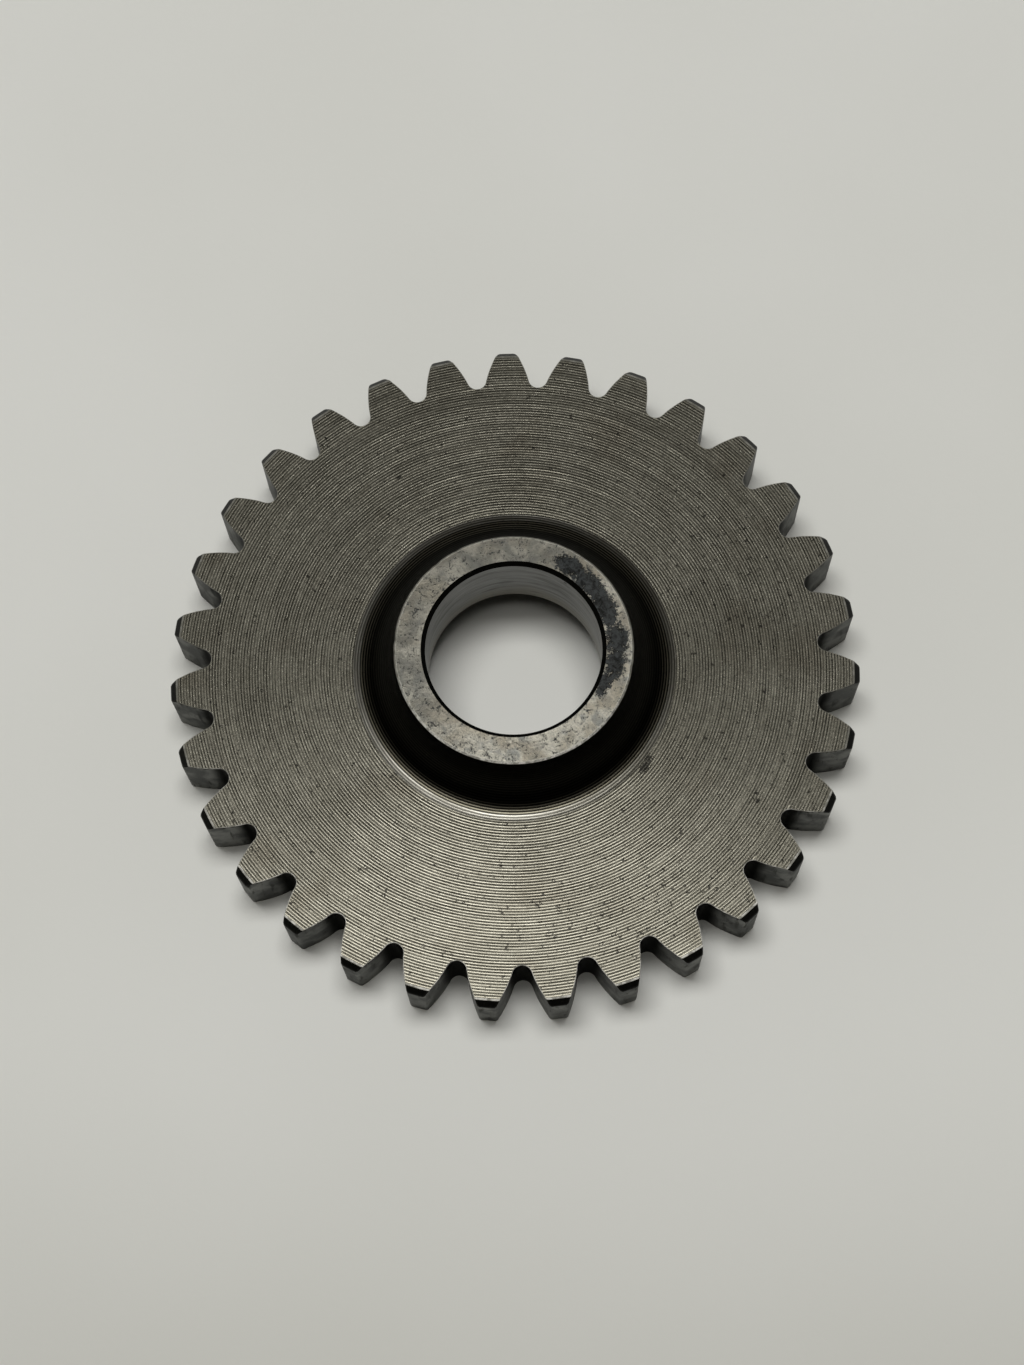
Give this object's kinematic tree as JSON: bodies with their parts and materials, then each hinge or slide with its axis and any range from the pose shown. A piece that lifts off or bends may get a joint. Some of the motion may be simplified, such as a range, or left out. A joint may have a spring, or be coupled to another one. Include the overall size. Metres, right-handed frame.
{
  "type": "spur gear",
  "caption": "Flat steel spur gear with straight involute teeth, chamfered tips, a smooth round bore and a short raised hub blended into one face by a large fillet.",
  "frame": {"origin": "on the bore axis, in the plane of the underside that the gear lies on", "axes": "+Z along the bore axis, from the underside towards the raised hub; the first tooth is centred on +X"},
  "size_m": [0.0673, 0.0674, 0.0126],
  "materials": {
    "machined_steel": "turned faces with fine concentric feed lines, ground hub end and bore, hobbed tooth flanks, light oil stains"
  },
  "bodies": {
    "root": {"spur_gear": "machined_steel"}
  },
  "joints": []
}
